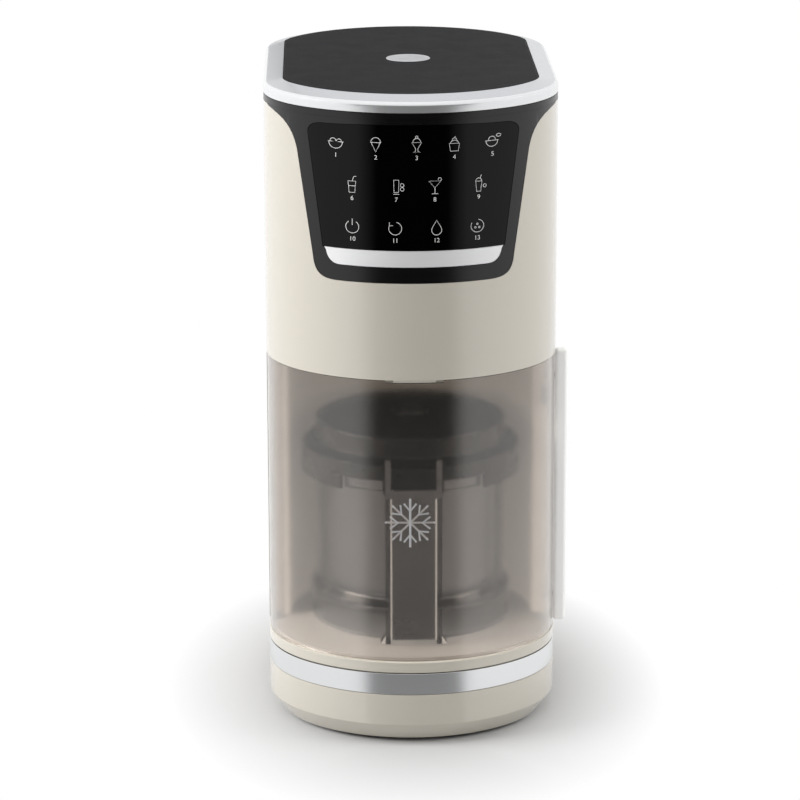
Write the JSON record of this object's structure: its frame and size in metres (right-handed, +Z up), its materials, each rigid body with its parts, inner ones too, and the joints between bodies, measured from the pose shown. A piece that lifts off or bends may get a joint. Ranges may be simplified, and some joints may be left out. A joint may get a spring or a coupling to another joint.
{
  "type": "ice cream maker",
  "caption": "Counter-top ice cream maker: smoked swing door over a bay with a clear bowl, frozen pot and lid, and a touch-panel head that lowers and spins a blade through a gear train.",
  "frame": {"origin": "on the table, under the middle of the machine's outline, the door pull included", "axes": "+Z up, +Y to the back, +X to the right as one faces the control panel"},
  "size_m": [0.198, 0.3, 0.4272],
  "materials": {
    "cream_shell": "glossy cream",
    "dark_plastic": "fine matt black",
    "silver_trim": "satin silver",
    "foot_rubber": "matt black",
    "screw_steel": "plain steel",
    "circuit_board": "green board",
    "bezel_black": "glossy black",
    "touch_glass": "black glass",
    "top_plate_grey": "brushed dark grey",
    "smoked_door": "smoked clear",
    "clear_bowl": "clear",
    "pot_metal": "satin grey",
    "lid_black": "satin black",
    "seal_rubber": "matt grey",
    "blade_steel": "polished steel",
    "collar_plastic": "matt white",
    "frame_steel": "plain steel",
    "bush_brass": "turned brass",
    "gear_steel": "cut steel",
    "motor_can": "grey lacquer",
    "rotor_metal": "bare laminations",
    "carriage_metal": "cast"
  },
  "bodies": {
    "housing": {"base_housing": "cream_shell", "base_deck": "cream_shell", "column_housing": "cream_shell", "bay_liner": "cream_shell", "bay_floor": "cream_shell", "head_housing": "cream_shell", "bay_ceiling": "cream_shell", "rear_cover": "cream_shell", "base_cover": "dark_plastic", "cord_gland": "dark_plastic", "neck_gasket": "dark_plastic", "reed_switch": "dark_plastic", "base_band": "silver_trim", "top_rim": "silver_trim", "nameplate_bar": "silver_trim", "top_badge": "silver_trim", "foot_front_left": "foot_rubber", "foot_rear_left": "foot_rubber", "foot_front_right": "foot_rubber", "foot_rear_right": "foot_rubber", "base_screw_front_left": "screw_steel", "base_screw_rear_left": "screw_steel", "base_screw_front_right": "screw_steel", "base_screw_rear_right": "screw_steel", "rear_screw_lower": "screw_steel", "rear_screw_upper": "screw_steel", "hinge_pin_lower": "screw_steel", "hinge_pin_upper": "screw_steel", "power_board": "circuit_board", "control_board": "circuit_board", "control_bezel": "bezel_black", "touch_glass": "touch_glass", "top_plate": "top_plate_grey", "outer_bowl": "clear_bowl", "inner_pot": "pot_metal", "gear_plate": "frame_steel", "guide_rod_left": "frame_steel", "guide_rod_right": "frame_steel", "top_bracket": "frame_steel", "countershaft_axle": "frame_steel", "spindle_bush": "bush_brass", "motor_housing": "motor_can", "lift_motor": "motor_can"},
    "door": {"door_panel": "smoked_door", "door_pull": "silver_trim", "door_pull_screw_lower": "screw_steel", "door_pull_screw_upper": "screw_steel", "door_magnet": "screw_steel"},
    "lid": {"pot_lid": "lid_black", "lid_seal": "seal_rubber"},
    "motor": {"motor_rotor": "rotor_metal", "cooling_fan": "dark_plastic"},
    "countershaft": {"countershaft_gear": "gear_steel"},
    "drive_wheel": {"drive_gear": "gear_steel"},
    "carriage": {"spindle_carriage": "carriage_metal", "spindle_bearing": "frame_steel"},
    "spindle": {"spindle_shaft": "frame_steel"},
    "screw": {"lead_screw": "frame_steel"},
    "collar": {"blade_collar": "collar_plastic"},
    "blade": {"blade_paddle": "blade_steel"}
  },
  "joints": [
    {"name": "door_hinge", "type": "hinge", "parent": "housing", "child": "door", "pos_m": [-0.0939, -0.05799, 0], "axis": [0, 0, -1], "range_deg": [0, 95]},
    {"name": "lid_lift", "type": "slide", "parent": "housing", "child": "lid", "axis": [0, 0, 1], "range_m": [0, 0.04]},
    {"name": "motor_spin", "type": "hinge", "parent": "housing", "child": "motor", "pos_m": [-0.004, 0.03901, 0], "axis": [0, 0, 1], "continuous": true},
    {"name": "countershaft_spin", "type": "hinge", "parent": "housing", "child": "countershaft", "pos_m": [-0.004, -0.00299, 0], "axis": [0, 0, 1], "continuous": true},
    {"name": "drive_gear_spin", "type": "hinge", "parent": "housing", "child": "drive_wheel", "pos_m": [-0.004, -0.04499, 0], "axis": [0, 0, 1], "continuous": true},
    {"name": "spindle_lift", "type": "slide", "parent": "housing", "child": "carriage", "axis": [0, 0, -1], "range_m": [0, 0.12]},
    {"name": "spindle_spin", "type": "hinge", "parent": "carriage", "child": "spindle", "pos_m": [-0.004, -0.04499, 0], "axis": [0, 0, 1], "continuous": true},
    {"name": "lead_screw_spin", "type": "hinge", "parent": "housing", "child": "screw", "pos_m": [0.04, -0.07599, 0], "axis": [0, 0, 1], "range_deg": [0, 4320]},
    {"name": "blade_lift", "type": "slide", "parent": "housing", "child": "collar", "axis": [0, 0, -1], "range_m": [0, 0.082]},
    {"name": "blade_spin", "type": "hinge", "parent": "collar", "child": "blade", "pos_m": [-0.004, -0.04499, 0], "axis": [0, 0, 1], "continuous": true}
  ],
  "couplings": [
    {"joint": "countershaft_spin", "follows": "motor_spin", "ratio": -0.5},
    {"joint": "drive_gear_spin", "follows": "motor_spin", "ratio": 0.25},
    {"joint": "spindle_spin", "follows": "motor_spin", "ratio": 0.25},
    {"joint": "blade_spin", "follows": "motor_spin", "ratio": 0.25},
    {"joint": "blade_lift", "follows": "spindle_lift", "ratio": 0.68333},
    {"joint": "lead_screw_spin", "follows": "spindle_lift", "rad_per_m": 628.32}
  ]
}
